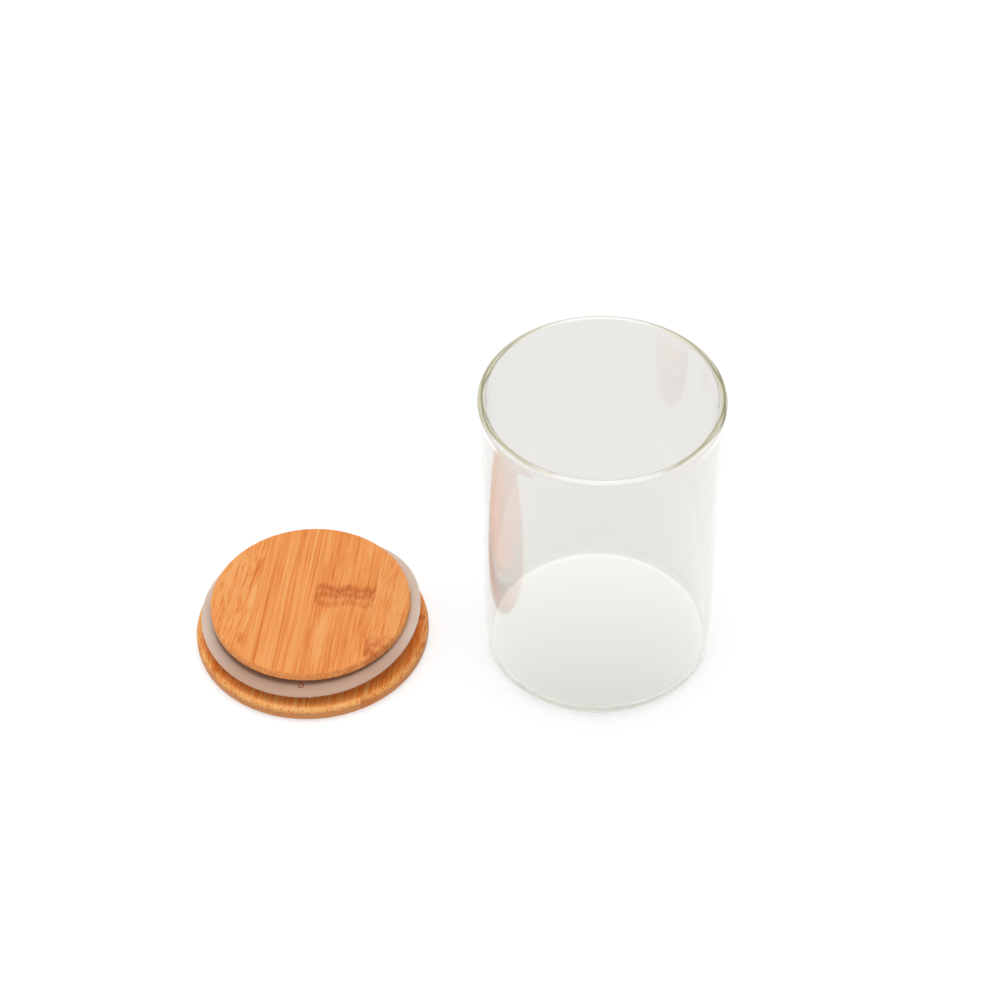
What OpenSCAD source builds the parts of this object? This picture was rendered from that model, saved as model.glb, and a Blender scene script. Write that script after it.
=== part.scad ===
// Sourdough starter jar: a straight glass jar beside its pressed bamboo lid.
// Millimetres, +Z up. The origin is the centre of the jar's base.
// The lid lies on the table with its outer face down, as it does while the jar is fed.

/* [Jar] */
// Outside diameter of the straight glass wall
jar_d = 85; // [70:1:110]
// Height of the jar from base to rim
jar_h = 120.5; // [90:0.5:200]
// Thickness of the straight wall
wall_t = 2.3; // [1.8:0.1:3.5]
// Thickness of the glass floor
floor_t = 3.2; // [2.5:0.1:6]
// Outside radius of the heel, where wall meets base
heel_r = 4.4; // [2:0.1:8]
// Inside radius between floor and wall
floor_r = 2.4; // [1:0.1:6]
// How far the fire-polished rim stands proud of the wall
rim_bead = 0.65; // [0.2:0.05:1.5]
// Length over which the wall thickens towards the rim
rim_taper = 5; // [2:0.5:10]

/* [Lid] */
// How far the flange overhangs the jar's rim all round
flange_overhang = 0.35; // [0:0.05:3]
// Thickness of the flange that rests on the rim
flange_t = 6; // [4.5:0.1:12]
// Rounding of the flange's two outer edges
flange_round = 2.1; // [0.5:0.1:2.2]
// Height of the groove that holds the seal
groove_h = 8.8; // [6:0.1:16]
// How deep the groove is turned in below the plug's edge
groove_depth = 4.8; // [3:0.1:10]
// Thickness of the plug that goes down into the jar
plug_t = 4; // [3:0.1:10]
// Clearance between the plug and the inside of the jar
plug_clear = 3.1; // [1.5:0.1:4]
// Rounding of the plug's two edges
plug_round = 0.9; // [0.2:0.1:1.4]

/* [Bamboo board] */
// Width of one pressed bamboo strip
strip_w = 22; // [14:0.5:40]
// How far the first seam lies from the lid's axis
seam_shift = 1.5; // [0:0.1:6]
// How far the strips are turned from the Y axis
grain_turn = 7; // [0:1:30]
// Share of a strip's width by which the core's seams are staggered
core_stagger = 0.5; // [0.2:0.1:0.8]

/* [Seal] */
// Slack of the seal's collar round the neck, which lets it lean
seal_fit = 0.4; // [0.35:0.05:0.6]
// Thickness of the collar
collar_t = 1.6; // [1:0.1:2]
// Depth of the collar below the lip's middle
collar_drop = 3.3; // [2:0.1:5]
// Height of the collar above the lip's middle
collar_rise = 0.6; // [0.6:0.1:1.5]
// Thickness of the lip where it leaves the collar
lip_root_t = 1.2; // [0.8:0.1:1.2]
// Thickness of the lip at its edge
lip_edge_t = 0.9; // [0.6:0.1:1.2]
// How far the lip is wider than the mouth that it seals
lip_press = 0.8; // [0.3:0.1:1.5]
// How far the seal leans, as a share of what its groove allows
lean_share = 0.92; // [0:0.01:0.95]
// Direction of the seal's highest side, measured from +X
lean_turn = 337; // [0:1:360]

/* [Layout] */
// Gap between the jar's wall and the lid's flange as they stand
side_gap = 20.9; // [5:0.1:80]
// How far the lid lies behind the jar's centre
lid_back = 1.8; // [-30:0.1:30]

/* [Hidden] */
$fn = 96;

jar_r = jar_d / 2;
mouth_r = jar_r - wall_t;
rim_tube = (wall_t + rim_bead) / 2;
flange_r = jar_r + rim_bead + flange_overhang;
plug_r = mouth_r - plug_clear;
neck_r = plug_r - groove_depth;
neck_top = flange_t + groove_h;
lid_h = neck_top + plug_t;
lid_x = -(jar_r + side_gap + flange_r);

bore_r = neck_r + seal_fit;
collar_r = bore_r + collar_t;
lip_r = mouth_r + lip_press;
// The lean ends where the collar reaches across its groove or bears on the neck
groove_lean = asin((groove_h - collar_drop - collar_rise) / (2 * collar_r));
neck_lean = atan((sqrt(collar_drop * collar_drop + 2 * bore_r * seal_fit) - collar_drop) / bore_r);
seal_lean = lean_share * min(groove_lean, neck_lean);
// The collar's lowest edge stands on the flange, which sets the height of the lip's middle
lip_z = flange_t + collar_drop * cos(seal_lean) + collar_r * sin(seal_lean);

// Jar

// Half outline of a round block standing on the axis, with a rounded lower corner
module heeled_half(r, h, corner) {
    square([r - corner, h]);
    translate([0, corner]) square([r, h - corner]);
    translate([r - corner, corner]) circle(corner);
}

// The rim's thickened end: a full round on top, tapering down into the wall
module rim_half() {
    rim_z = jar_h - rim_tube;
    translate([mouth_r + rim_tube, rim_z]) circle(rim_tube);
    polygon([
        [mouth_r, rim_z - rim_taper],
        [jar_r, rim_z - rim_taper],
        [jar_r + rim_bead, rim_z],
        [mouth_r, rim_z]
    ]);
}

module glass_jar() {
    color([0.86, 0.90, 0.88, 0.45])
    rotate_extrude()
    difference() {
        union() {
            heeled_half(jar_r, jar_h - rim_tube, heel_r);
            rim_half();
        }
        translate([0, floor_t]) heeled_half(mouth_r, jar_h, floor_r);
    }
}

// Lid

// Half outline of a disc from z0 to z0 + t with both outer edges rounded
module round_edge_half(r, z0, t, edge) {
    translate([0, z0]) square([r - edge, t]);
    translate([0, z0 + edge]) square([r, t - 2 * edge]);
    translate([r - edge, z0 + edge]) circle(edge);
    translate([r - edge, z0 + t - edge]) circle(edge);
}

// One layer of the lid as it is turned from the glued board
module turned_layer(r, z0, t, edge) {
    rotate_extrude() round_edge_half(r, z0, t, edge);
}

// The slab of board between two seams, which run along the grain
module between_seams(from, to) {
    reach = flange_r + 1;
    rotate([0, 0, -grain_turn])
    translate([from, -reach, -1]) cube([to - from, 2 * reach, lid_h + 2]);
}

// Seam number i of a layer, as a distance from the lid's axis; the outermost ones clear the rim
function seam(i, count, shift) =
    i == 0 ? -flange_r - 1 :
    i == count ? flange_r + 1 :
    shift + strip_w * (i - floor(count / 2));

module lid_place() {
    translate([lid_x, lid_back, 0]) children();
}

module face_strip(i) {
    lid_place()
    intersection() {
        turned_layer(flange_r, 0, flange_t, flange_round);
        between_seams(seam(i - 1, 4, seam_shift), seam(i, 4, seam_shift));
    }
}

module core_strip(i) {
    stagger = seam_shift + strip_w * core_stagger;
    lid_place()
    intersection() {
        translate([0, 0, flange_t]) cylinder(r = neck_r, h = groove_h);
        between_seams(seam(i - 1, 3, stagger - strip_w), seam(i, 3, stagger - strip_w));
    }
}

module plug_strip(i) {
    lid_place()
    intersection() {
        turned_layer(plug_r, neck_top, plug_t, plug_round);
        between_seams(seam(i - 1, 4, seam_shift), seam(i, 4, seam_shift));
    }
}

module face_strip_1() { color("#c58552") face_strip(1); }
module face_strip_2() { color("#d49358") face_strip(2); }
module face_strip_3() { color("#cf8b50") face_strip(3); }
module face_strip_4() { color("#d69a60") face_strip(4); }

module core_strip_1() { color("#b9743f") core_strip(1); }
module core_strip_2() { color("#c27d45") core_strip(2); }
module core_strip_3() { color("#bb7641") core_strip(3); }

module plug_strip_1() { color("#e89756") plug_strip(1); }
module plug_strip_2() { color("#ea9553") plug_strip(2); }
module plug_strip_3() { color("#e6934f") plug_strip(3); }
module plug_strip_4() { color("#ed9d5c") plug_strip(4); }

// Seal

// Half outline of the seal about its own axis, with the lip's middle at height zero
module seal_half() {
    edge = lip_edge_t / 2;
    translate([bore_r, -collar_drop]) square([collar_t, collar_drop + collar_rise]);
    polygon([
        [bore_r, -lip_root_t / 2],
        [collar_r, -lip_root_t / 2],
        [lip_r - edge, -edge],
        [lip_r - edge, edge],
        [collar_r, lip_root_t / 2],
        [bore_r, lip_root_t / 2]
    ]);
    translate([lip_r - edge, 0]) circle(edge);
}

// The ring leans in its groove: its low side stands on the flange and its collar is held by the neck
module silicone_seal() {
    color("#c7a493")
    lid_place()
    translate([0, 0, lip_z])
    rotate([0, 0, lean_turn])
    rotate([0, -seal_lean, 0])
    rotate_extrude()
    seal_half();
}

glass_jar();
face_strip_1();
face_strip_2();
face_strip_3();
face_strip_4();
core_strip_1();
core_strip_2();
core_strip_3();
plug_strip_1();
plug_strip_2();
plug_strip_3();
plug_strip_4();
silicone_seal();
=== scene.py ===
import math
import bpy
from mathutils import Matrix, Vector


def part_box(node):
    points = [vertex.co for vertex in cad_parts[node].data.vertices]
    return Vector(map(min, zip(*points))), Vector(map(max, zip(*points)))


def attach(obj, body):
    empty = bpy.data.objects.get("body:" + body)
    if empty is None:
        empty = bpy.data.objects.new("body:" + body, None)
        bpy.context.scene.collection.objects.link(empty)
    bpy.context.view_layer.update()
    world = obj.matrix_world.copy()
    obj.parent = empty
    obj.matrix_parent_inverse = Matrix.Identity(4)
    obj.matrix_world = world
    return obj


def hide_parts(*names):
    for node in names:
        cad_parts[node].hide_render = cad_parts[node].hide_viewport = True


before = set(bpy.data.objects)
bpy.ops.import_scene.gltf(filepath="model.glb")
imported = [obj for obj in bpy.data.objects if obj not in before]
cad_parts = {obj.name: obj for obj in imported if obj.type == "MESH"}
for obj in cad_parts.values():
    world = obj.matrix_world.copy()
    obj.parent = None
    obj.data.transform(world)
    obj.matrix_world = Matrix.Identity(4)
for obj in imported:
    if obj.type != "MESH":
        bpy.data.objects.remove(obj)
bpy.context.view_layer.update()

mm = 0.001


def linear(red, green, blue, alpha=1.0):  # a colour as it looks on screen, 0 to 255, to Blender's linear values
    def channel(value):
        value = value / 255
        return value / 12.92 if value <= 0.04045 else ((value + 0.055) / 1.055) ** 2.4
    return (channel(red), channel(green), channel(blue), alpha)


def unionBox(names):
    boxes = [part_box(name) for name in names]
    low = [min(box[0][axis] for box in boxes) for axis in range(3)]
    high = [max(box[1][axis] for box in boxes) for axis in range(3)]
    return Vector(low), Vector(high)


faceStrips = ["face_strip_%d" % number for number in (1, 2, 3, 4)]
flangeLow, flangeHigh = unionBox(faceStrips)
lidCentre = (flangeLow + flangeHigh) / 2
print("frame loaded, lid centre", [round(value / mm, 2) for value in lidCentre])


# Camera, as the photograph was taken: a long lens looking down at 45 degrees

camera = {
    "place": (-0.03582, -0.67242, 0.74086),
    "lookDown": 0.7836,  # radians below level
    "roll": -0.0172,
    "lens": 95.66,
}


def addCamera(settings):
    down = settings["lookDown"]
    forward = Vector((0, math.cos(down), -math.sin(down)))
    right = Vector((1, 0, 0))
    up = right.cross(forward)
    turn = settings["roll"]
    across = right * math.cos(turn) + up * math.sin(turn)
    above = up * math.cos(turn) - right * math.sin(turn)
    data = bpy.data.cameras.new("camera")
    data.lens = settings["lens"]
    data.sensor_width = 36
    data.clip_start = 0.01
    data.clip_end = 50
    obj = bpy.data.objects.new("camera", data)
    rows = Matrix((across, above, -forward)).transposed().to_4x4()
    obj.matrix_world = Matrix.Translation(settings["place"]) @ rows
    bpy.context.scene.collection.objects.link(obj)
    bpy.context.scene.camera = obj


addCamera(camera)
print("camera placed")


# Node wiring

class Wire:  # an output socket, so that node maths reads as plain sums
    def __init__(self, bench, socket):
        self.bench = bench
        self.socket = socket

    def out(self, name):  # another output of the same node
        return Wire(self.bench, self.socket.node.outputs[name])

    def __add__(self, other):
        return self.bench.sum("ADD", self, other)

    def __radd__(self, other):
        return self.bench.sum("ADD", other, self)

    def __sub__(self, other):
        return self.bench.sum("SUBTRACT", self, other)

    def __rsub__(self, other):
        return self.bench.sum("SUBTRACT", other, self)

    def __mul__(self, other):
        return self.bench.sum("MULTIPLY", self, other)

    def __rmul__(self, other):
        return self.bench.sum("MULTIPLY", other, self)

    def __truediv__(self, other):
        return self.bench.sum("DIVIDE", self, other)

    def __abs__(self):
        return self.bench.sum("ABSOLUTE", self)


class Bench:  # any node tree
    def __init__(self, tree):
        self.tree = tree

    def node(self, kind, settings=None, inputs=None, output=0):
        made = self.tree.nodes.new(kind)
        for key, value in (settings or {}).items():
            if key == "stops":
                self.setStops(made.color_ramp, value)
            else:
                setattr(made, key, value)
        for key, value in (inputs or {}).items():
            if isinstance(value, Wire):
                self.tree.links.new(value.socket, made.inputs[key])
            else:
                made.inputs[key].default_value = value
        return Wire(self, made.outputs[output]) if made.outputs else made

    def setStops(self, ramp, stops):
        while len(ramp.elements) < len(stops):
            ramp.elements.new(1.0)
        for element, (place, colour) in zip(ramp.elements, stops):
            element.position = place
            element.color = colour

    def sum(self, operation, *values):
        return self.node("ShaderNodeMath", {"operation": operation}, dict(enumerate(values)))

    def ramp(self, value, low, high, toLow=0.0, toHigh=1.0):  # smooth step from low to high
        inputs = {"Value": value, "From Min": low, "From Max": high, "To Min": toLow, "To Max": toHigh}
        return self.node("ShaderNodeMapRange", {"interpolation_type": "SMOOTHSTEP"}, inputs)

    def vector(self, x=0.0, y=0.0, z=0.0):
        return self.node("ShaderNodeCombineXYZ", None, {0: x, 1: y, 2: z})

    def split(self, vector):
        parts = self.node("ShaderNodeSeparateXYZ", None, {0: vector})
        return parts, parts.out("Y"), parts.out("Z")


class Sheet(Bench):  # one material's node tree
    def __init__(self, name):
        self.material = bpy.data.materials.new(name)
        self.material.use_nodes = True
        super().__init__(self.material.node_tree)
        self.tree.nodes.clear()

    def blend(self, amount, first, second, mode="MIX"):  # mixes two colours
        settings = {"data_type": "RGBA", "blend_type": mode}
        return self.node("ShaderNodeMix", settings, {0: amount, 6: first, 7: second}, 2)

    def noise(self, place, detail=2.0, roughness=0.5, seed=0.0):
        inputs = {"Vector": place, "Scale": 1.0, "Detail": detail, "Roughness": roughness, "W": seed}
        return self.node("ShaderNodeTexNoise", {"noise_dimensions": "4D"}, inputs)

    def cells(self, place, seed=0.0):
        return self.node("ShaderNodeTexVoronoi", {"voronoi_dimensions": "4D"}, {"Vector": place, "Scale": 1.0, "W": seed})

    def place(self, centre=(0, 0, 0), turn=0.0):  # millimetres from a centre, on axes turned about Z
        coordinates = self.node("ShaderNodeTexCoord", output=3)
        inputs = {"Vector": coordinates, "Location": tuple(centre), "Rotation": (0, 0, turn), "Scale": (mm, mm, mm)}
        return self.split(self.node("ShaderNodeMapping", {"vector_type": "TEXTURE"}, inputs))

    def ringMark(self, across, along, mark):  # 1 on a small ring, such as a pin mark
        x, y, radius, width = mark
        away = self.sum("SQRT", (across - x) * (across - x) + (along - y) * (along - y))
        return self.ramp(abs(away - radius), width, width * 0.3)

    def finish(self, surface, volume=None):
        inputs = {"Surface": surface}
        if volume is not None:
            inputs["Volume"] = volume
        self.node("ShaderNodeOutputMaterial", None, inputs)
        return self.material


# Bamboo

bamboo = {
    "grainTurn": math.radians(-7),
    "tones": (linear(246, 173, 103), linear(243, 154, 79), linear(216, 112, 38)),
    # The face strips' tones are lighter: painted light, to offset the shade that the lip casts on the flange
    "faceTonesPaintedLight": (linear(255, 193, 118), linear(255, 176, 96), linear(218, 112, 40)),
    "knuckle": linear(190, 86, 16),
    # painted bounce light: the warm tone of the shaded flange next to the groove
    "deep": linear(255, 128, 24),
    "glue": linear(176, 92, 38),
    "pore": linear(132, 66, 22),
    "sanded": linear(200, 126, 70),
    "seamShift": 1.5,    # millimetres from the lid's axis to the first seam
    "stripWidth": 22.0,
    "fibreBump": 0.14,
    "roughness": (0.42, 0.58),
}

# Per strip, in millimetres on the board: across from the lid's axis, along the strips.
# shade: how dark; dash: how short the fibre dashes are; long: share of long streaks;
# rows: knuckle rows as (along, half height, strength); spots: soft patches as (across, along, half width,
# half length, darker); rings: small pin marks as (across, along, radius, width)
stripLooks = {
    # On the face strips, shade also holds painted light: strips 2 and 3 are lighter to offset the lip's shade at the
    # flange's front, and strip 4 darker where the lamp falls more on the right
    "face_strip_1": {"shade": 0.48, "seed": 1.3, "dash": 0.12, "long": 1.2, "gain": 2.3, "rows": [(-27.0, 2.2, 0.5)]},
    "face_strip_2": {"shade": 0.30, "seed": 2.9, "dash": 0.06, "long": 1.2, "gain": 1.8},
    "face_strip_3": {"shade": 0.30, "seed": 4.4, "dash": 0.08, "long": 1.2, "gain": 1.8},
    "face_strip_4": {"shade": 0.64, "seed": 6.1, "dash": 0.12, "long": 1.2, "gain": 2.3, "rows": [(-35.2, 2.8, 0.55)],
                     "rings": [(40.7, 6.6, 0.8, 0.55)]},
    "core_strip_1": {"shade": 0.60, "seed": 7.7, "dash": 0.08, "long": 1.0},
    "core_strip_2": {"shade": 0.55, "seed": 8.2, "dash": 0.08, "long": 1.0},
    "core_strip_3": {"shade": 0.60, "seed": 9.6, "dash": 0.08, "long": 1.0},
    "plug_strip_1": {
        "shade": 0.44, "seed": 11.2, "dash": 0.16, "long": 1.0, "gain": 2.3, "lean": 0.05,
        "spots": [(-21.2, 13.0, 2.0, 7.0, 0.2), (-21.6, -1.0, 1.6, 7.0, -0.3), (-22.5, -21.0, 1.8, 4.0, 0.2)],
    },
    "plug_strip_2": {"shade": 0.50, "seed": 12.8, "dash": 0.03, "long": 1.25},
    "plug_strip_3": {
        "shade": 0.52, "seed": 14.1, "dash": 0.08, "long": 1.2,
        "rows": [(6.2, 2.6, 0.95), (2.9, 2.3, 0.85), (-0.8, 2.0, 0.55)],
        "spots": [(6.5, -19.0, 3.2, 17.0, -0.22), (7.2, 15.0, 1.8, 7.0, 0.14)],
    },
    "plug_strip_4": {
        "shade": 0.42, "seed": 15.9, "dash": 0.14, "long": 1.1, "gain": 2.1, "lean": 0.03,
        "rows": [(-17.0, 1.6, 0.35), (-20.5, 2.6, 0.8), (-25.0, 3.4, 1.0)],
    },
}


def bambooMaterial(name, look, stagger):
    sheet = Sheet(name)
    across, along, up = sheet.place((lidCentre.x, lidCentre.y, 0), bamboo["grainTurn"])
    seed = look["seed"]

    # The fibres wander a little, and the whole pattern is solid, so end grain shows dots where faces show streaks
    drift = sheet.noise(sheet.vector(across * 0.07, along * 0.022, up * 0.07), 1.0, 0.5, seed) * 2.6
    fibre = across + drift - along * look.get("lean", 0.0)
    dash = sheet.noise(sheet.vector(fibre * 2.1, along * look["dash"], up * 2.1), 2.0, 0.6, seed + 1)
    streak = sheet.noise(sheet.vector(fibre * 1.2, along * 0.009, up * 0.7), 3.0, 0.6, seed + 2)
    broad = sheet.noise(sheet.vector(fibre * 0.16, along * 0.012, up * 0.1), 1.0, 0.5, seed + 3)
    bundle = sheet.cells(sheet.vector(fibre * 1.3, along * 0.04, up * 1.3), seed + 4)
    dot = sheet.ramp(bundle, 0.36, 0.12)
    vessel = sheet.ramp(bundle, 0.52, 0.26)
    top = 18.8 if name.startswith("bamboo_plug") else 6.0
    endGrain = sheet.ramp(up, top - 0.2, top - 0.9)
    mix = endGrain * (vessel * 0.9 - 0.12) + (dash - 0.5) * look.get("gain", 1.7) + (streak - 0.5) * look["long"] + (broad - 0.5) * 0.7 + dot * 0.2 + (look["shade"] - 0.05)
    for x, y, halfWidth, halfLength, darker in look.get("spots", []):
        dx = (across - x + (dash - 0.5) * 2.0) / halfWidth
        dy = (along - y) / halfLength
        mix = mix + sheet.ramp(dx * dx + dy * dy, 1.2, 0.1) * darker
    face = name.startswith("bamboo_face")
    # The face strips take the lighter tones, which hold painted light
    pale, light, dark = bamboo["faceTonesPaintedLight" if face else "tones"]
    stops = [(0.10, pale), (0.42, light), (0.98, dark)]
    colour = sheet.node("ShaderNodeValToRGB", {"stops": stops}, {0: mix})

    # The flange next to the groove, where the lip shades it, carries painted bounce light: its colour is pushed to a
    # deep orange there, as light thrown between wood and lip would warm it; and its rounded rim is sanded paler
    if face:
        outward = sheet.sum("SQRT", across * across + along * along)
        # Painted bounce light in the lip's shade, next to the groove
        grooveBounce = sheet.ramp(outward, 42.6, 40.9) * sheet.ramp(streak, 0.35, 0.6, 0.1, 0.65)
        colour = sheet.blend(grooveBounce, colour, bamboo["deep"])
        colour = sheet.blend(sheet.ramp(up, 5.7, 3.6, 0.0, 0.75), colour, bamboo["sanded"])

    # Pores: short dark dashes where a bundle of vessels was cut open
    slit = sheet.cells(sheet.vector(fibre * 1.9, along * 0.26, up * 1.9), seed + 5)
    pores = sheet.ramp(slit, 0.17, 0.05) * sheet.ramp(streak, 0.50, 0.62)
    colour = sheet.blend(pores * 0.35, colour, bamboo["pore"])

    # Knuckles of the cane: ragged dark rows, toothed along the fibres, with pale gaps between the teeth
    bump = dash * 0.6 + dot * 0.25
    for number, (height, half, strength) in enumerate(look.get("rows", [])):
        ragged = sheet.noise(sheet.vector(across * 0.5, along * 0.12, up * 0.5), 2.0, 0.6, seed + 6 + number)
        teeth = sheet.noise(sheet.vector(across * 1.5, along * 0.22, up * 1.5), 2.0, 0.6, seed + 9 + number)
        away = abs(along - height + (ragged - 0.5) * 8.0)
        band = sheet.ramp(away, half * 1.2, 0.0)
        tooth = band * sheet.ramp(teeth, 0.36, 0.52, 0.4, 1.0)
        gap = sheet.ramp(away, half * 1.6, half * 0.6) * sheet.ramp(teeth, 0.42, 0.32)
        colour = sheet.blend(gap * (0.35 * strength), colour, pale)
        colour = sheet.blend(tooth * (0.85 * strength), colour, bamboo["knuckle"])
        bump = bump - tooth * 0.3

    for mark in look.get("rings", []):
        colour = sheet.blend(sheet.ringMark(across, along, mark) * 0.7, colour, bamboo["knuckle"])

    # Glue lines between the strips
    toSeam = sheet.sum("PINGPONG", across - (bamboo["seamShift"] + stagger), bamboo["stripWidth"] / 2)
    glue = sheet.ramp(toSeam, 0.16, 0.03)
    colour = sheet.blend(glue * 0.3, colour, bamboo["glue"])
    bump = bump - glue * 0.5

    # Painted shade: the plug's lower edge and underside are darkened towards the glue's colour, where the gap under the
    # plug lies in shade
    if name.startswith("bamboo_plug"):
        colour = sheet.blend(sheet.ramp(up, 15.8, 14.9, 0.0, 0.6), colour, bamboo["glue"])

    rough = sheet.ramp(dash, 0.3, 0.7, *bamboo["roughness"])
    inputs = {"Strength": bamboo["fibreBump"], "Distance": 0.12 * mm, "Height": bump}
    normal = sheet.node("ShaderNodeBump", None, inputs)
    wood = sheet.node("ShaderNodeBsdfPrincipled", None, {
        "Base Color": colour,
        "Roughness": rough,
        "Normal": normal,
        "IOR": 1.45,
        "Specular IOR Level": 0.35,
    })
    return sheet.finish(wood)


def dressLid():
    for name, look in stripLooks.items():
        stagger = bamboo["stripWidth"] / 2 if name.startswith("core") else 0.0
        wood = bambooMaterial("bamboo_" + name, look, stagger)
        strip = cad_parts[name]
        for slot in strip.material_slots:
            slot.material = wood
        if not strip.material_slots:
            strip.data.materials.append(wood)


dressLid()
print("lid strips dressed in bamboo")


# Turning: a Geometry Nodes lathe that spins a drawn half outline round its axis

latheInputs = [
    ("Outline", "Geometry", None),
    ("Segments", "Int", 128),
    ("Wave From", "Float", 0.0),       # radius at which a wave of the edge begins
    ("Wave To", "Float", 1.0),         # radius at which it is whole
    ("Wave Height", "Float", 0.0),     # two crests a turn
    ("Wave Turn", "Float", 0.0),
    ("Third Height", "Float", 0.0),    # three crests a turn
    ("Third Turn", "Float", 0.0),
    ("Droop", "Float", 0.0),           # one dip of the edge
    ("Droop Turn", "Float", 0.0),
    ("Lean", "Float", 0.0),
    ("Lean Turn", "Float", 0.0),
    ("Place", "Vector", None),
    ("Finish", "Material", None),
    ("Band Finish", "Material", None),
    ("Band From", "Float", 1.0),       # height above which the band's finish holds
    ("Band Rise", "Float", 0.0),       # how much higher it starts at the back
    ("Foot Finish", "Material", None),
    ("Foot To", "Float", -1.0),        # height below which the foot's finish holds
    ("Foot From", "Float", 0.0),       # and the radius beyond which it does, above the base itself
]


def latheTree():
    tree = bpy.data.node_groups.new("lathe", "GeometryNodeTree")
    for name, kind, value in latheInputs:
        socket = tree.interface.new_socket(name, in_out="INPUT", socket_type="NodeSocket" + kind)
        if value is not None:
            socket.default_value = value
    tree.interface.new_socket("Turned", in_out="OUTPUT", socket_type="NodeSocketGeometry")
    bench = Bench(tree)
    given = bench.node("NodeGroupInput")
    outline, segments = given.out("Outline"), given.out("Segments")

    points = bench.node("GeometryNodeAttributeDomainSize", {"component": "CURVE"}, {0: outline}).out("Point Count")
    columns = bench.node("FunctionNodeIntegerMath", {"operation": "ADD"}, {0: segments, 1: 1})
    grid = bench.node("GeometryNodeMeshGrid", None, {"Vertices X": columns, "Vertices Y": points})
    index = bench.node("GeometryNodeInputIndex")
    row = bench.node("FunctionNodeIntegerMath", {"operation": "MODULO"}, {0: index, 1: points})
    column = bench.node("FunctionNodeIntegerMath", {"operation": "DIVIDE"}, {0: index, 1: points})
    angle = column / segments * (2 * math.pi)
    position = bench.node("GeometryNodeInputPosition")
    inputs = {"Geometry": outline, "Value": position, "Index": row}
    drawn = bench.node("GeometryNodeSampleIndex", {"data_type": "FLOAT_VECTOR"}, inputs)
    radius = bench.split(drawn)[0]
    reach = bench.node("ShaderNodeMapRange", None, {
        "Value": radius,
        "From Min": given.out("Wave From"),
        "From Max": given.out("Wave To"),
    })
    twice = bench.sum("COSINE", (angle - given.out("Wave Turn")) * 2) * given.out("Wave Height")
    thrice = bench.sum("COSINE", (angle - given.out("Third Turn")) * 3) * given.out("Third Height")
    facing = bench.sum("COSINE", angle - given.out("Droop Turn")) * 0.5 + 0.5
    droop = bench.sum("POWER", facing, 6.0) * given.out("Droop")
    lift = bench.vector(0.0, 0.0, (twice + thrice - droop) * reach)
    spun = bench.node("ShaderNodeVectorRotate", {"rotation_type": "Z_AXIS"}, {"Vector": drawn, "Angle": angle})
    waved = bench.node("ShaderNodeVectorMath", {"operation": "ADD"}, {0: spun, 1: lift})
    placed = bench.node("GeometryNodeSetPosition", None, {"Geometry": grid, "Position": waved})
    welded = bench.node("GeometryNodeMergeByDistance", None, {"Geometry": placed, "Distance": 0.002 * mm})
    leanBy = bench.vector(0.0, given.out("Lean"), 0.0)
    leaned = bench.node("GeometryNodeTransform", None, {"Geometry": welded, "Rotation": leanBy})
    turnBy = bench.vector(0.0, 0.0, given.out("Lean Turn"))
    inputs = {"Geometry": leaned, "Rotation": turnBy, "Translation": given.out("Place")}
    turned = bench.node("GeometryNodeTransform", None, inputs)
    smooth = bench.node("GeometryNodeSetShadeSmooth", None, {"Geometry": turned, "Shade Smooth": True})
    real = bench.node("GeometryNodeRealizeInstances", None, {"Geometry": smooth})
    finished = bench.node("GeometryNodeSetMaterial", None, {"Geometry": real, "Material": given.out("Finish")})
    side, depth, height = bench.split(bench.node("GeometryNodeInputPosition"))
    inputs = {"Value": depth, "From Min": 0.0, "From Max": 16 * mm, "To Min": 0.0, "To Max": given.out("Band Rise")}
    rise = bench.node("ShaderNodeMapRange", None, inputs)
    above = bench.sum("GREATER_THAN", height, given.out("Band From") + rise)
    inputs = {"Geometry": finished, "Selection": above, "Material": given.out("Band Finish")}
    banded = bench.node("GeometryNodeSetMaterial", None, inputs)
    outward = bench.sum("SQRT", side * side + depth * depth)
    below = bench.sum("LESS_THAN", height, given.out("Foot To"))
    beyond = bench.sum("GREATER_THAN", outward, given.out("Foot From"))
    beyond = bench.sum("MAXIMUM", beyond, bench.sum("LESS_THAN", height, 0.4 * mm))
    inputs = {"Geometry": banded, "Selection": below * beyond, "Material": given.out("Foot Finish")}
    footed = bench.node("GeometryNodeSetMaterial", None, inputs)
    bench.node("NodeGroupOutput", None, {"Turned": footed})
    return tree


def drawOutline(name, points):  # a flat curve in the XZ plane, in metres
    data = bpy.data.curves.new(name, "CURVE")
    data.dimensions = "3D"
    spline = data.splines.new("POLY")
    spline.points.add(len(points) - 1)
    for point, (radius, height) in zip(spline.points, points):
        point.co = (radius, 0, height, 1)
    obj = bpy.data.objects.new(name, data)
    bpy.context.scene.collection.objects.link(obj)
    return obj


def arc(centre, radius, start, end, steps):  # degrees, counted anticlockwise in the outline's plane
    out = []
    for step in range(steps + 1):
        angle = math.radians(start + (end - start) * step / steps)
        out.append((centre[0] + radius * math.cos(angle), centre[1] + radius * math.sin(angle)))
    return out


def straight(start, end, guard, steps):  # inner points of a straight stretch, with a guard ring near each end
    length = math.dist(start, end)
    shares = [guard / length] + [step / steps for step in range(1, steps)] + [1 - guard / length]
    return [(start[0] + (end[0] - start[0]) * share, start[1] + (end[1] - start[1]) * share) for share in shares]


def closeUp(points):  # drops a point that repeats the one before
    out = [points[0]]
    for point in points[1:]:
        if math.dist(point, out[-1]) > 0.01 * mm:
            out.append(point)
    return out


lathe = latheTree()


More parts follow.
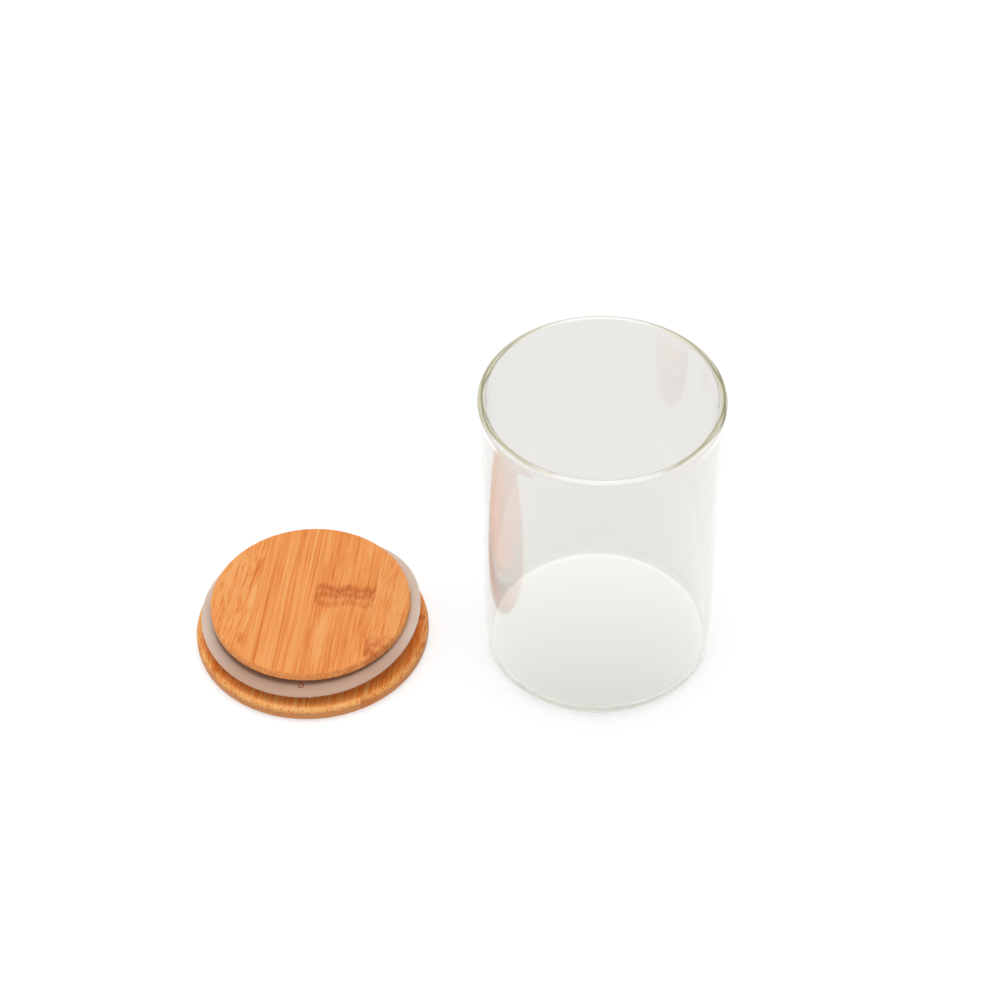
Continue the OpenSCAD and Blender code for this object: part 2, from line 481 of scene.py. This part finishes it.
def turn(name, outline, inputs):
    obj = drawOutline(name + "_outline", closeUp(outline))
    modifier = obj.modifiers.new("lathe", "NODES")
    modifier.node_group = lathe
    for item in lathe.interface.items_tree:
        if item.in_out == "INPUT" and item.name in inputs:
            modifier[item.identifier] = inputs[item.name]
    evaluated = obj.evaluated_get(bpy.context.evaluated_depsgraph_get())
    mesh = bpy.data.meshes.new_from_object(evaluated)
    obj.modifiers.remove(modifier)
    bpy.data.objects.remove(obj)
    mesh.name = name
    made = bpy.data.objects.new(name, mesh)
    bpy.context.scene.collection.objects.link(made)
    return made


# Jar

jar = {
    "wall": 2.3 * mm,
    "floor": 3.2 * mm,
    "bead": 0.65 * mm,      # how far the rim stands proud
    "taper": 5.0 * mm,      # the wall swells towards the rim over this length
    "heel": 4.4 * mm,
    "corner": 2.4 * mm,
    "segments": 320,
    "wallTint": (0.950, 0.943, 0.940, 1.0),
    "footTint": (1.0, 1.0, 0.99, 1.0),
    "absorb": (0.70, 0.72, 0.38, 1.0),
    "density": 8.0,
    "rimFrom": 1.5 * mm,    # how far down from the top the band with the rim's painted-light finish reaches
    "rimRise": 1.0 * mm,    # and how much less at the back
    # painted light for the rim: pale at the front and back, olive at the sides, dark lines, a highlight under the front
    "rimPale": linear(250, 249, 244),
    "rimSideLightOlive": linear(226, 221, 194),
    "rimShadeLine": linear(128, 126, 84),
    "rimHighlight": linear(255, 253, 247),
    "rimClear": (0.45, 0.15),  # share of light that goes straight through, at the front and at the sides
    "footTo": 5.8 * mm,        # height of the heel's own finish
    "footFrom": 37.4 * mm,
    "footClear": 0.5,
}


def jarOutline():
    low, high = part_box("glass_jar")
    top = high[2]
    outer = (high[0] - low[0]) / 2 - jar["bead"]
    inner = outer - jar["wall"]
    rim = (jar["wall"] + jar["bead"]) / 2
    rimCentre = (inner + rim, top - rim)
    heel, corner, floor = jar["heel"], jar["corner"], jar["floor"]
    taperFoot = (outer, top - rim - jar["taper"])
    points = [(0, 0)] + straight((0, 0), (outer - heel, 0), 0.4 * mm, 6)
    points += arc((outer - heel, heel), heel, -90, 0, 16)
    points += straight((outer, heel), taperFoot, 0.4 * mm, 12)
    # The swell towards the bead is a soft S
    for step in range(9):
        share = step / 8
        soft = share * share * (3 - 2 * share)
        points.append((outer + jar["bead"] * soft, taperFoot[1] + jar["taper"] * share))
    points += arc(rimCentre, rim, 0, 180, 24)
    points += straight((inner, top - rim), (inner, floor + corner), 0.4 * mm, 12)
    points += arc((inner - corner, floor + corner), corner, 0, -90, 16)
    points += straight((inner - corner, floor), (0, floor), 0.4 * mm, 6) + [(0, floor)]
    return points


def glassMaterial(name, clear=0.0):
    sheet = Sheet(name)
    x, y, z = sheet.place()
    # Drawn tube is never quite even: long faint waves up the wall
    wave = sheet.noise(sheet.vector(x * 0.038, y * 0.038, z * 0.005), 1.0, 0.5, 3.0)
    normal = sheet.node("ShaderNodeBump", None, {"Strength": 0.10, "Distance": 0.5 * mm, "Height": wave})
    smear = sheet.noise(sheet.vector(x * 0.06, y * 0.06, z * 0.03), 3.0, 0.6, 8.0)
    rough = sheet.ramp(smear, 0.45, 0.75, 0.0, 0.02)
    tint = sheet.blend(sheet.ramp(z, 3.4, 9.0), jar["footTint"], jar["wallTint"])
    glass = sheet.node("ShaderNodeBsdfPrincipled", None, {
        "Base Color": tint,
        "Roughness": rough,
        "IOR": 1.47,
        "Transmission Weight": 1.0,
        "Normal": normal,
    })
    if clear:
        straightThrough = sheet.node("ShaderNodeBsdfTransparent")
        glass = sheet.node("ShaderNodeMixShader", None, {0: clear, 1: glass, 2: straightThrough})
    body = sheet.node("ShaderNodeVolumeAbsorption", None, {"Color": jar["absorb"], "Density": jar["density"]})
    return sheet.finish(glass, body)


def rimMaterial():  # painted light: the rim's colour stands in for the light that it gathers from the whole wall, clear at the front, olive at the sides, with painted dark lines and a painted highlight under the front
    sheet = Sheet("rim_glass")
    x, y, z = sheet.place()
    wander = sheet.noise(sheet.vector(x * 0.06, y * 0.06, z * 0.06), 1.0, 0.5, 4.0)
    away = sheet.sum("SQRT", x * x + y * y) + (wander - 0.5) * 0.8
    # Painted light: the base colour turns olive at the sides, where the rim gathers light along the wall
    side = sheet.ramp(abs(x), 8.0, 34.0)
    middle = x * 0.0075 + 41.7 + sheet.ramp(y, -15.0, -34.0) * -0.35
    split = sheet.ramp(abs(y), 3.0, 14.0) * sheet.ramp(abs(y), 30.0, 20.0) * 0.65
    # Painted shade: a fine dark line runs inside the band, strongest at the sides, and a faint one along the outer edge
    # at the back
    paintedShadeLine = sheet.ramp(abs(abs(away - middle) - split), 0.6, 0.0) * sheet.ramp(abs(x), 8.0, 28.0, 0.12, 0.42)
    paintedShadeLine = paintedShadeLine * (x * 0.002 + 1.0) + paintedShadeLine * sheet.ramp(abs(x), 36.0, 41.5)
    back = sheet.ramp(away, 41.9, 42.4) * sheet.ramp(y, 14.0, 32.0) * 0.28
    paintedShadeLine = sheet.sum("MAXIMUM", paintedShadeLine, back)
    # Painted highlight: under the rim at the front it is pale, and nothing goes straight through
    paintedUnderLight = sheet.ramp(away, 42.2, 42.8) * sheet.ramp(y, -10.0, -24.0)
    tone = sheet.blend(side * sheet.ramp(away, 40.5, 41.1, 0.4, 1.0), jar["rimPale"], jar["rimSideLightOlive"])
    tone = sheet.blend(paintedShadeLine, tone, jar["rimShadeLine"])
    tone = sheet.blend(paintedUnderLight, tone, jar["rimHighlight"])
    body = sheet.node("ShaderNodeBsdfPrincipled", None, {"Base Color": tone, "Roughness": 0.06, "IOR": 1.47})
    front, sides = jar["rimClear"]
    straightThrough = sheet.node("ShaderNodeBsdfTransparent")
    clear = side * (sides - front) + front - sheet.ramp(y, 0.0, 30.0) * (1 - side) * 0.35
    clear = clear * (1 - paintedUnderLight)
    return sheet.finish(sheet.node("ShaderNodeMixShader", None, {0: clear, 1: body, 2: straightThrough}))


jarGlass = turn("jar_glass", jarOutline(), {
    "Segments": jar["segments"],
    "Finish": glassMaterial("clear_glass"),
    "Band Finish": rimMaterial(),
    "Band From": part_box("glass_jar")[1][2] - jar["rimFrom"],
    "Band Rise": jar["rimRise"],
    "Foot Finish": glassMaterial("foot_glass", clear=jar["footClear"]),
    "Foot To": jar["footTo"],
    "Foot From": jar["footFrom"],
})
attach(jarGlass, "jar")
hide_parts("glass_jar")
print("jar turned,", len(jarGlass.data.polygons), "faces")


# Seal

seal = {
    "lean": math.radians(2.61),
    "leanTurn": math.radians(-19.4),
    "height": 12.0 * mm,         # of the lip's middle
    "lipRadius": 41.0 * mm,
    "collarBore": 32.7 * mm,
    "collarRadius": 34.3 * mm,
    "drop": 4.4 * mm,
    "crown": 0.5 * mm,           # how far the lip's root stands above its edge
    "lipRoot": 1.2 * mm,
    "lipEdge": 0.9 * mm,
    "wave": 1.77 * mm,           # the stretched lip is wavy: it stands high at the right and left, low at the front
    "waveTurn": math.radians(6.7),
    "third": 0.54 * mm,
    "thirdTurn": math.radians(21.9),
    "droop": 0.9 * mm,
    "droopTurn": math.radians(-112),
    "segments": 256,
    "nibTurn": math.radians(-88.9),
    "nib": 0.42 * mm,
    "pinMark": (-2.4, -36.9, 0.8, 0.5),  # from the lid's axis, in millimetres, with its radius and width
    "silicone": linear(226, 211, 197),
    "shade": linear(219, 202, 187),
    # painted shade, warmed: the tone of the lip's front
    "frontShadeTone": linear(200, 164, 140),
    "frontShadeShare": 0.95,
    # painted shadow under the plug's edge
    "plugShadow": linear(108, 69, 44),
    "plugShadowShare": 0.52,
    "pinTone": linear(168, 78, 28),
}


def sealOutline():
    bore, collar, lip = seal["collarBore"], seal["collarRadius"], seal["lipRadius"]
    edge, root = seal["lipEdge"] / 2, seal["lipRoot"] / 2
    soft = 0.3 * mm
    points = arc((bore + soft, -seal["drop"] + soft), soft, 180, 270, 5)
    points += arc((collar - soft, -seal["drop"] + soft), soft, -90, 0, 5)
    points += arc((collar + soft, -root - soft), soft, 180, 90, 5)
    points += straight((collar + soft, -root), (lip - edge, -edge), 0.3 * mm, 3)
    points += arc((lip - edge, 0), edge, -90, 90, 10)
    points += straight((lip - edge, edge), (collar, root), 0.3 * mm, 3)
    points += arc((bore + soft, root - soft), soft, 90, 180, 5)
    points.append(points[0])

    def crowned(radius, height):
        share = min(1, max(0, (lip - edge - radius) / (lip - edge - collar)))
        return radius, height + seal["crown"] * share
    return [crowned(*point) for point in points]


def siliconeMaterial():
    sheet = Sheet("soft_silicone")
    x, y, z = sheet.place((lidCentre.x, lidCentre.y, 0))
    cloud = sheet.noise(sheet.vector(x * 0.09, y * 0.09, z * 0.09), 3.0, 0.6, 2.0)
    grit = sheet.noise(sheet.vector(x * 2.6, y * 2.6, z * 2.6), 2.0, 0.6, 5.0)
    colour = sheet.blend(sheet.ramp(cloud, 0.35, 0.65), seal["silicone"], seal["shade"])
    # Painted shade and painted warm bounce light: at the front the lip lies low in the plug's shade, so its colour is
    # darkened and warmed there as if the wood's light showed through it, most of all under the plug
    colour = sheet.blend(sheet.ramp(y, -6.0, -34.0) * seal["frontShadeShare"], colour, seal["frontShadeTone"])
    # Painted shadow: the lip is darkened close under the plug's edge
    outward = sheet.sum("SQRT", x * x + y * y)
    colour = sheet.blend(sheet.ramp(outward, 37.5, 36.2) * seal["plugShadowShare"], colour, seal["plugShadow"])
    colour = sheet.blend(sheet.ringMark(x, y, seal["pinMark"]) * 0.8, colour, seal["pinTone"])
    rough = sheet.ramp(grit, 0.3, 0.7, 0.40, 0.55)
    normal = sheet.node("ShaderNodeBump", None, {"Strength": 0.10, "Distance": 0.05 * mm, "Height": grit})
    rubber = sheet.node("ShaderNodeBsdfPrincipled", None, {
        "Base Color": colour,
        "Roughness": rough,
        "Normal": normal,
        "IOR": 1.42,
        "Subsurface Weight": 0.35,
        "Subsurface Radius": (1.0, 0.6, 0.4),
        "Subsurface Scale": 0.0010,
    })
    return sheet.finish(rubber)


silicone = siliconeMaterial()
sealRing = turn("seal_ring", sealOutline(), {
    "Segments": seal["segments"],
    "Wave From": seal["collarRadius"],
    "Wave To": seal["lipRadius"],
    "Wave Height": seal["wave"],
    "Wave Turn": seal["waveTurn"] - seal["leanTurn"],
    "Third Height": seal["third"],
    "Third Turn": seal["thirdTurn"] - seal["leanTurn"],
    "Droop": seal["droop"],
    "Droop Turn": seal["droopTurn"] - seal["leanTurn"],
    "Lean": -seal["lean"],
    "Lean Turn": seal["leanTurn"],
    "Place": Vector((lidCentre.x, lidCentre.y, seal["height"])),
    "Finish": silicone,
    "Band Finish": silicone,
})
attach(sealRing, "lid")
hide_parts("silicone_seal")


def lipPoint(angle):  # the middle of the lip's edge in a direction
    rise = math.sin(seal["lean"]) * seal["lipRadius"] * math.cos(angle - seal["leanTurn"])
    rise += seal["wave"] * math.cos(2 * (angle - seal["waveTurn"]))
    rise += seal["third"] * math.cos(3 * (angle - seal["thirdTurn"]))
    rise -= seal["droop"] * (0.5 + 0.5 * math.cos(angle - seal["droopTurn"])) ** 6
    reach = seal["lipRadius"]
    return Vector((lidCentre.x + reach * math.cos(angle), lidCentre.y + reach * math.sin(angle), seal["height"] + rise))


# The nib is where the moulding's flash was torn off
nib = seal["nib"]
sealNib = turn("seal_nib", arc((0, 0), nib, -90, 90, 10), {
    "Segments": 20,
    "Place": lipPoint(seal["nibTurn"]),
    "Finish": silicone,
    "Band Finish": silicone,
})
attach(sealNib, "lid")
print("seal turned,", len(sealRing.data.polygons) + len(sealNib.data.polygons), "faces")


# Studio

studio = {
    "paper": 0.80,            # how pale the floor is for the light that it throws back
    "paperSeen": 0.50,        # the same as the camera sees it, so that shadows stay soft
    "paperThrough": 0.20,     # and as it shows through glass
    "lift": 0.60,             # added for the camera and for gloss, so that the lit floor shows white
    "liftThrough": 0.685,     # added for what shows through glass
    "paintedJarLight": 0.105,       # painted light: more is added below the jar, as seen through its glass, to lift the shade that the jar casts there
    "paintedJarSlope": 0.0036,     # per millimetre towards the back
    "throughTint": (1.0, 0.99, 0.965, 1.0),
    "floorHeight": -0.15 * mm,
    "worldLight": 0.675,
    "keyPower": 7.9,
    "keySize": 1.2,
    "keyPlace": (-0.02, -0.04, 1.5),
}


def addFloor():
    sheet = Sheet("floor_paper")
    path = sheet.node("ShaderNodeLightPath")
    seen, through = path.out("Is Camera Ray"), path.out("Is Transmission Ray")
    gloss = path.out("Is Glossy Ray") * (1 - through)  # a ray through clear glass counts as glossy too
    white = (1.0, 1.0, 1.0, 1.0)
    tone = studio["paper"] - seen * (studio["paper"] - studio["paperSeen"])
    tone = tone - through * (studio["paper"] - studio["paperThrough"])
    paper = sheet.node("ShaderNodeBsdfDiffuse", None, {"Color": sheet.vector(tone, tone, tone)})
    tint = sheet.blend(through, white, studio["throughTint"])
    x, y, z = sheet.place()
    # Painted light on the floor under the jar, seen only through the glass, brighter towards the back
    paintedUnderLight = sheet.ramp(x * x + y * y, 42.0 * 42.0, 40.8 * 40.8) * (y * studio["paintedJarSlope"] + studio["paintedJarLight"])
    strength = sheet.sum("MAXIMUM", seen, gloss) * studio["lift"] + through * (paintedUnderLight + studio["liftThrough"])
    glow = sheet.node("ShaderNodeEmission", None, {"Color": tint, "Strength": strength})
    material = sheet.finish(sheet.node("ShaderNodeAddShader", None, {0: paper, 1: glow}))
    mesh = bpy.data.meshes.new("floor")
    half, height = 4.0, studio["floorHeight"]
    corners = [(-half, -half, height), (half, -half, height), (half, half, height), (-half, half, height)]
    mesh.from_pydata(corners, [], [(0, 1, 2, 3)])
    mesh.materials.append(material)
    floor = bpy.data.objects.new("floor", mesh)
    bpy.context.scene.collection.objects.link(floor)


def addWorld():
    world = bpy.data.worlds.new("studio")
    bpy.context.scene.world = world
    world.use_nodes = True
    bench = Bench(world.node_tree)
    bench.tree.nodes.clear()
    path = bench.node("ShaderNodeLightPath")
    seen = bench.sum("MAXIMUM", path.out("Is Camera Ray"), path.out("Is Glossy Ray"))
    seen = bench.sum("MAXIMUM", seen, path.out("Is Transmission Ray"))
    strength = seen * (1 - studio["worldLight"]) + studio["worldLight"]
    sky = bench.node("ShaderNodeBackground", None, {"Color": (1, 1, 1, 1), "Strength": strength})
    bench.node("ShaderNodeOutputWorld", None, {"Surface": sky})


def addLamp(name, place, aim, size, power):
    data = bpy.data.lights.new(name, "AREA")
    data.shape = "DISK"
    data.size = size
    data.energy = power
    lamp = bpy.data.objects.new(name, data)
    lamp.location = place
    lamp.rotation_euler = (Vector(aim) - Vector(place)).to_track_quat("-Z", "Y").to_euler()
    bpy.context.scene.collection.objects.link(lamp)
    return lamp


addFloor()
addWorld()
addLamp("key", studio["keyPlace"], (-0.05, 0, 0.03), studio["keySize"], studio["keyPower"])
print("studio lit")

bpy.context.scene.view_settings.view_transform = "Standard"
